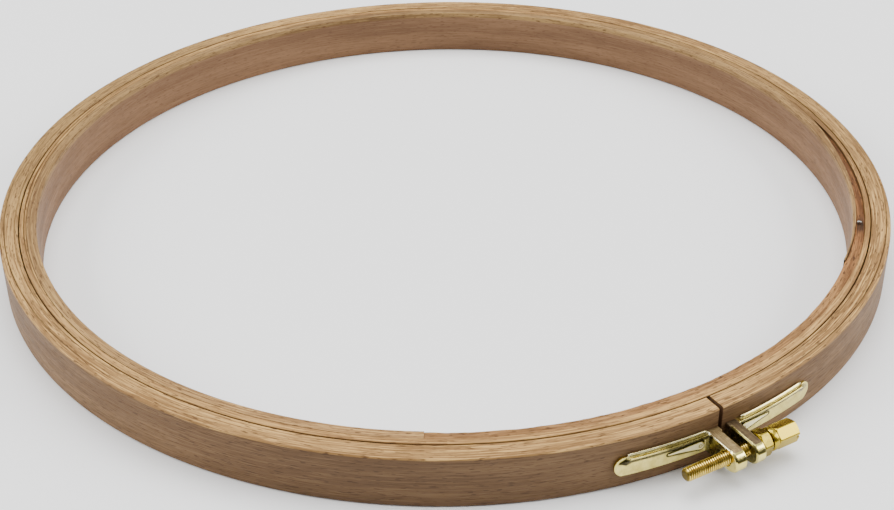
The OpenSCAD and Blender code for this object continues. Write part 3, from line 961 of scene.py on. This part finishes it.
def collar_nut(material):
    bore = THREAD_R + BORE_ROOM
    face = (3.0, 2.6, bore + BORE_BEVEL_RISE)
    rings = hex_rings(NUT_AF, NUT_NEAR, NUT_FAR, HEX_BEVEL, HEX_BEVEL)
    rings += [(NUT_FAR, radius) for radius in face]
    rings += [(NUT_FAR - BORE_BEVEL, bore), (NUT_NEAR + BORE_BEVEL, bore)]
    rings += [(NUT_NEAR, radius) for radius in face[::-1]]
    nut = turned("collar_nut_brass", rings, material, looped=True)
    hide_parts("collar_nut")
    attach(nut, "screw")


# Materials


class Nodes:
    """The node tree of a material or world, made with short calls."""

    def __init__(self, owner):
        owner.use_nodes = True
        self.tree = owner.node_tree
        self.tree.nodes.clear()

    def put(self, socket, value):
        if isinstance(value, bpy.types.NodeSocket):
            self.tree.links.new(value, socket)
        else:
            socket.default_value = value

    def node(self, kind, inputs, **settings):
        node = self.tree.nodes.new(kind)
        for key, value in settings.items():
            setattr(node, key, value)
        for key, value in inputs.items():
            self.put(node.inputs[key], value)
        return node


class Shader(Nodes):
    """A material with one Principled surface."""

    def __init__(self, name):
        self.material = bpy.data.materials.new(name)
        super().__init__(self.material)
        self.surface = self.node("ShaderNodeBsdfPrincipled", {})
        self.node("ShaderNodeOutputMaterial", {"Surface": self.surface.outputs["BSDF"]})

    def attribute(self, name, output):
        return self.node("ShaderNodeAttribute", {}, attribute_name=name).outputs[output]

    def stretch(self, vector, long, across, third=None):
        """Coordinates for noise with spots long by across millimetres, or by third as well."""
        scale = (1 / long, 1 / across, 1 / (third or across))
        node = self.node("ShaderNodeVectorMath", {0: vector, 1: scale}, operation="MULTIPLY")
        return node.outputs["Vector"]

    def noise(self, vector, detail=2.0, roughness=0.5, distortion=0.0):
        inputs = {"Vector": vector, "Scale": 1.0, "Detail": detail, "Roughness": roughness,
                  "Distortion": distortion}
        return self.node("ShaderNodeTexNoise", inputs).outputs["Fac"]

    def span(self, value, low, high, to_low=0.0, to_high=1.0):
        inputs = {"Value": value, "From Min": low, "From Max": high, "To Min": to_low,
                  "To Max": to_high}
        node = self.node("ShaderNodeMapRange", inputs, interpolation_type="SMOOTHSTEP")
        return node.outputs["Result"]

    def math(self, operation, first, second):
        node = self.node("ShaderNodeMath", {0: first, 1: second}, operation=operation)
        return node.outputs["Value"]

    def mix(self, factor, first, second):
        node = self.tree.nodes.new("ShaderNodeMix")
        node.data_type = "RGBA"
        for index, value in ((0, factor), (6, first), (7, second)):
            if isinstance(value, tuple):
                value = (*value, 1.0)
            self.put(node.inputs[index], value)
        return node.outputs[2]

    def tone(self, under, over, value, low, high, share=1.0):
        """under, going over to over as value runs from low to high, by share at most."""
        return self.mix(self.span(value, low, high, 0.0, share), under, over)

    def bump(self, height, distance):
        inputs = {"Height": height, "Distance": distance, "Strength": 1.0}
        node = self.node("ShaderNodeBump", inputs)
        self.put(self.surface.inputs["Normal"], node.outputs["Normal"])

    def finish(self, **inputs):
        for key, value in inputs.items():
            self.put(self.surface.inputs[key.replace("_", " ")], value)
        return self.material


def beech(name, pale, deep, fleck, streaks, veins, flecks, fibres, second=None, side=1.0):
    """Steamed beech along the grain: slow drift, streaks, finer veins, fibres and the short dark
    flecks of its rays. The fine joints and cracks that a mesh marks are dark. second is the pale
    and the deep colour where a mesh is tinted, with a tint of the same sign as side."""
    shader = Shader(name)
    grain = shader.attribute("grain", "Vector")
    drift = shader.noise(shader.stretch(grain, 110, 7), 3)
    streak = shader.noise(shader.stretch(grain, 45, 1.1), 4, 0.65, 0.4)
    vein = shader.noise(shader.stretch(grain, 16, 0.5), 2, 0.6, 0.3)
    fibre = shader.noise(shader.stretch(grain, 5, 0.28), 3, 0.65)
    ray = shader.noise(shader.stretch(grain, 2.4, 0.36), 0.5)
    if second:
        tint = shader.math("MULTIPLY", shader.attribute("tint", "Fac"), side)
        pale = shader.mix(tint, pale, second[0])
        deep = shader.mix(tint, deep, second[1])
    colour = shader.tone(pale, deep, drift, 0.35, 0.65)
    colour = shader.tone(colour, deep, streak, 0.42, 0.68, streaks)
    colour = shader.tone(colour, pale, vein, 0.5, 0.36, veins)
    colour = shader.tone(colour, deep, vein, 0.5, 0.64, veins)
    colour = shader.tone(colour, fleck, fibre, 0.5, 0.72, fibres)
    colour = shader.tone(colour, fleck, ray, 0.62, 0.72, flecks)
    mark = shader.math("MULTIPLY", shader.attribute("mark", "Fac"), 0.92)
    colour = shader.mix(mark, colour, dim(fleck, 0.3))
    rough = shader.span(fibre, 0.3, 0.7, 0.5, 0.66)
    relief = shader.math("ADD", fibre, shader.math("MULTIPLY", vein, 0.6))
    shader.bump(relief, 0.05 * MM)
    return shader.finish(Base_Color=colour, Roughness=rough, Specular_IOR_Level=0.22)


def polished_metal(name, bright, dull, low_rough, high_rough, dent=0.006, rim=None):
    """Metal with an uneven polish: spots of it are duller and rougher. The creases of a casting and
    the grooves of a thread are darkened as painted shade. rim is the colour of the painted
    highlight on a casting's rim and drop; with it the casting's painted shade is laid on as well."""
    shader = Shader(name)
    local = shader.attribute("local", "Vector")
    cloud = shader.noise(shader.stretch(local, 2.5, 2.5), 4, 0.6)
    skin = shader.noise(shader.stretch(local, 1.5, 1.5), 1.5, 0.5)
    colour = shader.tone(bright, dull, cloud, 0.4, 0.7)
    rough = shader.span(skin, 0.3, 0.7, low_rough, high_rough)
    if rim:
        # Painted highlight on the rim and drop, then painted shade from the shade attribute.
        colour = shader.mix(shader.attribute("rim", "Fac"), colour, rim)
        shade = shader.attribute("shade", "Fac")
        colour = shader.mix(shade, colour, dim(dull, 0.06))
        rough = shader.math("ADD", rough, shader.math("MULTIPLY", shade, 0.15))
    # Painted shade in the creases of a casting and the grooves of a thread.
    hollow = shader.attribute("hollow", "Fac")
    colour = shader.tone(colour, dim(dull, 0.15), hollow, 0.08, 0.6, 0.9)
    rough = shader.math("ADD", rough, shader.span(hollow, 0.1, 0.6, 0.0, 0.2))
    shader.bump(skin, dent * MM)
    return shader.finish(Base_Color=colour, Roughness=rough, Metallic=1.0)


def sawn_brass(name, pale, deep, spot):
    """The ears' tops as the saw left them: dull grey-brown, scored along the ear."""
    shader = Shader(name)
    local = shader.attribute("local", "Vector")
    score = shader.noise(shader.stretch(local, 0.12, 9, 1), 3, 0.6)
    cloud = shader.noise(shader.stretch(local, 1.5, 1.5), 3)
    colour = shader.tone(pale, deep, score, 0.35, 0.65)
    colour = shader.tone(colour, spot, cloud, 0.45, 0.8)
    shader.bump(score, 0.03 * MM)
    rough = shader.span(score, 0.3, 0.7, 0.42, 0.6)
    return shader.finish(Base_Color=colour, Roughness=rough, Metallic=0.7)


def plain_stage():
    shader = Shader("stage_paper")
    place = shader.node("ShaderNodeTexCoord", {}).outputs["Object"]
    cloud = shader.noise(shader.stretch(place, 0.5, 0.5), 1)
    colour = shader.tone((0.93, 0.93, 0.93), (0.95, 0.95, 0.95), cloud, 0.3, 0.7)
    return shader.finish(Base_Color=colour, Roughness=0.9)


# Stage, light and camera


def stage():
    mesh = bpy.data.meshes.new("stage_floor")
    corners = ((-1, -1), (1, -1), (1, 1), (-1, 1))
    places = [(STAGE_HALF * x, STAGE_HALF * y, STAGE_Z) for x, y in corners]
    mesh.from_pydata(places, [], [(0, 1, 2, 3)])
    mesh.materials.append(plain_stage())
    new_object("stage_floor", mesh)


def area_light(name, place, size, power):
    """A square light that faces the rings' middle."""
    data = bpy.data.lights.new(name, "AREA")
    data.size = size
    data.energy = power
    light = new_object(name, data)
    light.location = place
    light.rotation_euler = (-Vector(place)).to_track_quat("-Z", "Y").to_euler()


def lights():
    area_light("left_box", (-1.5, -0.1, 0.9), 1.0, 26)
    area_light("right_box", (1.5, -0.1, 0.9), 1.0, 26)
    area_light("top_box", (0.0, 0.4, 1.9), 1.6, 40)


def world():
    """A studio that is brighter overhead and darker on the camera's side."""
    studio = bpy.data.worlds.new("studio")
    bpy.context.scene.world = studio
    sky = Nodes(studio)
    place = sky.node("ShaderNodeTexCoord", {}).outputs["Generated"]
    split = sky.node("ShaderNodeSeparateXYZ", {0: place}).outputs
    heights = sky.node("ShaderNodeValToRGB", {0: split["Z"]})
    elements = heights.color_ramp.elements
    elements[0].position, elements[1].position = SKY_TONES[0][0], SKY_TONES[-1][0]
    for position, _ in SKY_TONES[1:-1]:
        elements.new(position)
    for element, (_, tone) in zip(elements, SKY_TONES):
        element.color = (tone, tone, tone, 1)
    front = sky.node("ShaderNodeMapRange", {"Value": split["Y"], **SKY_FRONT})
    inputs = {0: heights.outputs[0], 1: front.outputs["Result"]}
    dimmed = sky.node("ShaderNodeVectorMath", inputs, operation="MULTIPLY")
    light = sky.node("ShaderNodeBackground", {"Color": dimmed.outputs["Vector"], "Strength": 1.0})
    sky.node("ShaderNodeOutputWorld", {"Surface": light.outputs[0]})


def camera():
    data = bpy.data.cameras.new("photo_camera")
    data.sensor_fit = "HORIZONTAL"
    data.sensor_width = SENSOR_W
    data.lens = FOCAL_PIXELS / PHOTO_WIDTH * SENSOR_W
    data.clip_start = 0.01
    viewer = new_object("photo_camera", data)
    right, up = Vector(CAMERA_RIGHT), Vector(CAMERA_UP)
    back = right.cross(up)
    turn = Matrix((right, up, back)).transposed().to_4x4()
    viewer.matrix_world = Matrix.Translation(CAMERA_AT) @ turn
    bpy.context.scene.camera = viewer


def build():
    def darker(pale, deep, share):
        return dim(pale, share), dim(deep, share)

    pale, deep = (0.6, 0.36, 0.122), (0.225, 0.116, 0.036)
    top = beech("beech_top", pale, deep, (0.075, 0.033, 0.011), 0.5, 0.9, 0.8, 0.6,
                darker(pale, deep, 0.6))
    pale, deep = (0.6, 0.35, 0.115), (0.26, 0.133, 0.042)
    outer_ply_top = beech("beech_outer_ply_top", pale, deep, (0.09, 0.04, 0.013), 0.5, 0.85, 0.7,
                          0.5, darker(pale, deep, 0.6))
    pale, deep = (0.56, 0.34, 0.125), (0.265, 0.142, 0.05)
    ply_top = beech("beech_inner_ply_top", pale, deep, (0.085, 0.038, 0.014), 0.5, 0.85, 0.8, 0.5,
                    darker(pale, deep, 0.56))
    # The walls, insides, ends and red walls are darker than the tops: partly the beech's own colour
    # and partly painted shade, as the sides get less light than the tops. The wall's second pair is
    # painted shade on the outer ring's front.
    pale, deep = (0.245, 0.14, 0.062), (0.142, 0.076, 0.032)
    wall = beech("beech_wall", pale, deep, (0.05, 0.024, 0.01), 0.5, 0.55, 0.6, 0.45,
                 darker(pale, deep, 0.76), -1.0)
    inside = beech("beech_inside", (0.25, 0.137, 0.067), (0.155, 0.08, 0.037),
                   (0.065, 0.03, 0.014), 0.45, 0.45, 0.4, 0.35)
    end = beech("beech_end", (0.15, 0.08, 0.04), (0.1, 0.05, 0.023), (0.045, 0.02, 0.01), 0.4,
                0.4, 0.4, 0.5)
    red_top = beech("red_beech_top", (0.45, 0.243, 0.083), (0.19, 0.088, 0.028),
                    (0.055, 0.022, 0.007), 0.6, 0.85, 0.9, 0.7,
                    ((0.36, 0.15, 0.048), (0.15, 0.056, 0.016)))
    red_wall = beech("red_beech_wall", (0.22, 0.115, 0.055), (0.14, 0.068, 0.03),
                     (0.055, 0.024, 0.01), 0.5, 0.5, 0.5, 0.5)
    outer_ring([top, wall, inside, end])
    outer_ply([outer_ply_top, wall, inside, end])
    inner_ply([ply_top, wall, inside, end])
    closing_strip([red_top, red_wall, red_wall, end])
    staple(polished_metal("steel_wire_grey", (0.6, 0.58, 0.54), (0.4, 0.38, 0.36), 0.3, 0.5))
    # The rim colour is a painted highlight.
    cast = polished_metal("cast_brass_polished", (0.84, 0.72, 0.24), (0.68, 0.56, 0.15), 0.1, 0.22,
                          rim=(0.98, 0.9, 0.55))
    sawn = sawn_brass("sawn_brass", (0.3, 0.205, 0.085), (0.12, 0.08, 0.033), (0.4, 0.29, 0.13))
    cast_bracket("left_bracket_cast", "left_bracket", "outer_left", (cast, sawn), -1,
                 LEFT_EAR_SIDE, LEFT_EAR_NEAR, LEFT_RIB_END)
    sawn = sawn_brass("sawn_brass_brown", (0.14, 0.093, 0.042), (0.058, 0.036, 0.016),
                      (0.19, 0.135, 0.062))
    cast_bracket("right_bracket_cast", "right_bracket", "outer_right", (cast, sawn), 1,
                 RIGHT_EAR_SIDE, RIGHT_EAR_NEAR, RIGHT_RIB_END)
    thread = polished_metal("thread_brass", (0.76, 0.57, 0.14), (0.5, 0.34, 0.06), 0.12, 0.24,
                            dent=0.002)
    smooth = polished_metal("turned_brass_pale", (0.46, 0.34, 0.035), (0.37, 0.265, 0.028), 0.14,
                            0.28)
    clamp_screw(thread, smooth)
    smooth = polished_metal("nut_brass_pale", (0.3, 0.225, 0.028), (0.24, 0.175, 0.02), 0.16, 0.3)
    collar_nut(smooth)


build()
stage()
lights()
world()
camera()
